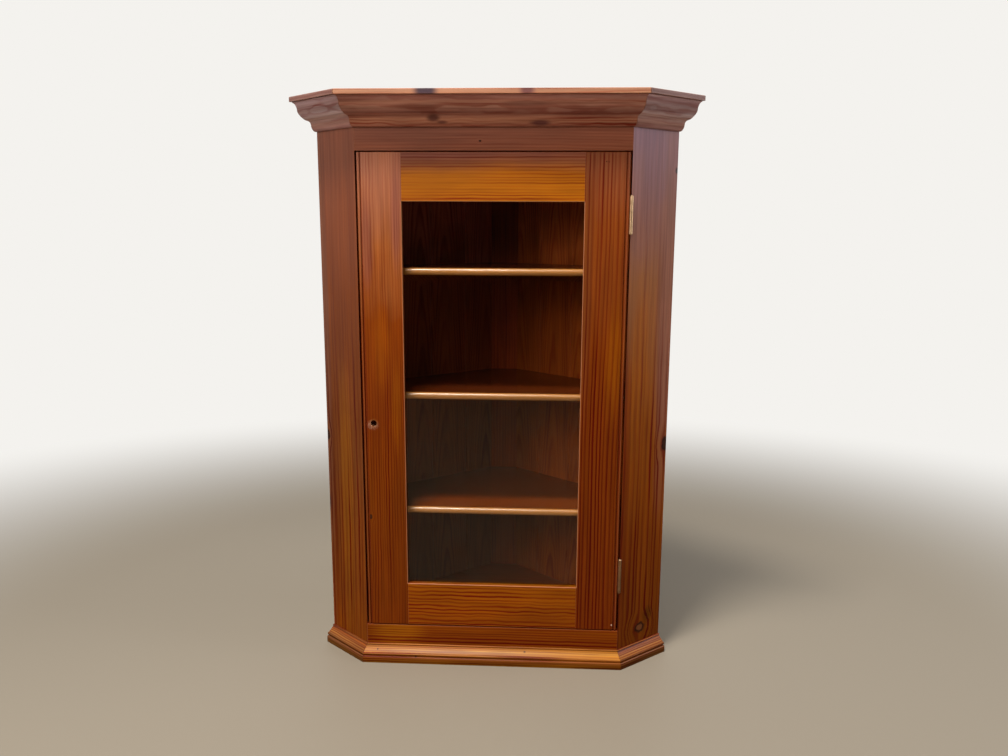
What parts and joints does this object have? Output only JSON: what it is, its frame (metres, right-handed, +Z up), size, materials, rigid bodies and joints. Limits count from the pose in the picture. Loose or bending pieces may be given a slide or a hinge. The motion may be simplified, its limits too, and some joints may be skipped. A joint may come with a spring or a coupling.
{
  "type": "corner cupboard",
  "caption": "Wooden corner cupboard with canted sides, one hinged glazed door, three shelves, boarded back, mitred cornice and base moulding.",
  "frame": {"origin": "middle of the cupboard's width and depth, on the surface it stands on", "axes": "+Z up, +Y from the door towards the corner of the room, +X to the right of someone facing the door"},
  "size_m": [0.751, 0.452, 1.073],
  "materials": {
    "side_pine": "satin varnished reddish brown pine, upright grain",
    "rail_pine": "satin varnished brown pine, level grain",
    "stile_pine": "satin varnished reddish pine, strong upright grain",
    "door_rail_pine": "satin varnished golden pine, level grain",
    "moulding_pine": "satin varnished brown pine moulding",
    "cap_pine": "worn pale orange pine edge",
    "inside_pine": "thinly varnished dark pine",
    "shelf_pine": "varnished pine with a pale worn nose",
    "brass": "lacquered pressed brass",
    "clear_glass": "clear window glass"
  },
  "bodies": {
    "carcass": {"return_left": "side_pine", "return_right": "side_pine", "frieze_rail": "rail_pine", "bottom_rail": "rail_pine", "door_stop": "rail_pine", "top_board": "inside_pine", "bottom_board": "inside_pine", "corner_board": "inside_pine", "back_board_left_1": "inside_pine", "back_board_left_2": "inside_pine", "back_board_left_3": "inside_pine", "back_board_left_4": "inside_pine", "back_board_left_5": "inside_pine", "back_board_right_1": "inside_pine", "back_board_right_2": "inside_pine", "back_board_right_3": "inside_pine", "back_board_right_4": "inside_pine", "back_board_right_5": "inside_pine", "shelf_lower": "shelf_pine", "cleat_lower_left": "inside_pine", "cleat_lower_right": "inside_pine", "shelf_middle": "shelf_pine", "cleat_middle_left": "inside_pine", "cleat_middle_right": "inside_pine", "shelf_upper": "shelf_pine", "cleat_upper_left": "inside_pine", "cleat_upper_right": "inside_pine", "cornice_left": "moulding_pine", "cornice_cap_left": "cap_pine", "base_moulding_left": "moulding_pine", "cornice_front": "moulding_pine", "cornice_cap_front": "cap_pine", "base_moulding_front": "moulding_pine", "cornice_right": "moulding_pine", "cornice_cap_right": "cap_pine", "base_moulding_right": "moulding_pine", "hinge_upper_frame_leaf": "brass", "hinge_upper_pin": "brass", "hinge_upper_frame_screw_top": "brass", "hinge_upper_frame_screw_bottom": "brass", "hinge_lower_frame_leaf": "brass", "hinge_lower_pin": "brass", "hinge_lower_frame_screw_top": "brass", "hinge_lower_frame_screw_bottom": "brass"},
    "door": {"door_stile_left": "stile_pine", "door_stile_right": "stile_pine", "door_rail_top": "door_rail_pine", "door_rail_bottom": "door_rail_pine", "door_glass": "clear_glass", "glazing_bead_bottom": "door_rail_pine", "glazing_bead_right": "door_rail_pine", "glazing_bead_top": "door_rail_pine", "glazing_bead_left": "door_rail_pine", "hinge_upper_door_leaf": "brass", "hinge_upper_door_screw_top": "brass", "hinge_upper_door_screw_bottom": "brass", "hinge_lower_door_leaf": "brass", "hinge_lower_door_screw_top": "brass", "hinge_lower_door_screw_bottom": "brass"}
  },
  "joints": [
    {"name": "door_hinge", "type": "hinge", "parent": "carcass", "child": "door", "pos_m": [0.2475, -0.17468, 0.52675], "axis": [0, 0, 1], "range_deg": [0, 135]}
  ]
}
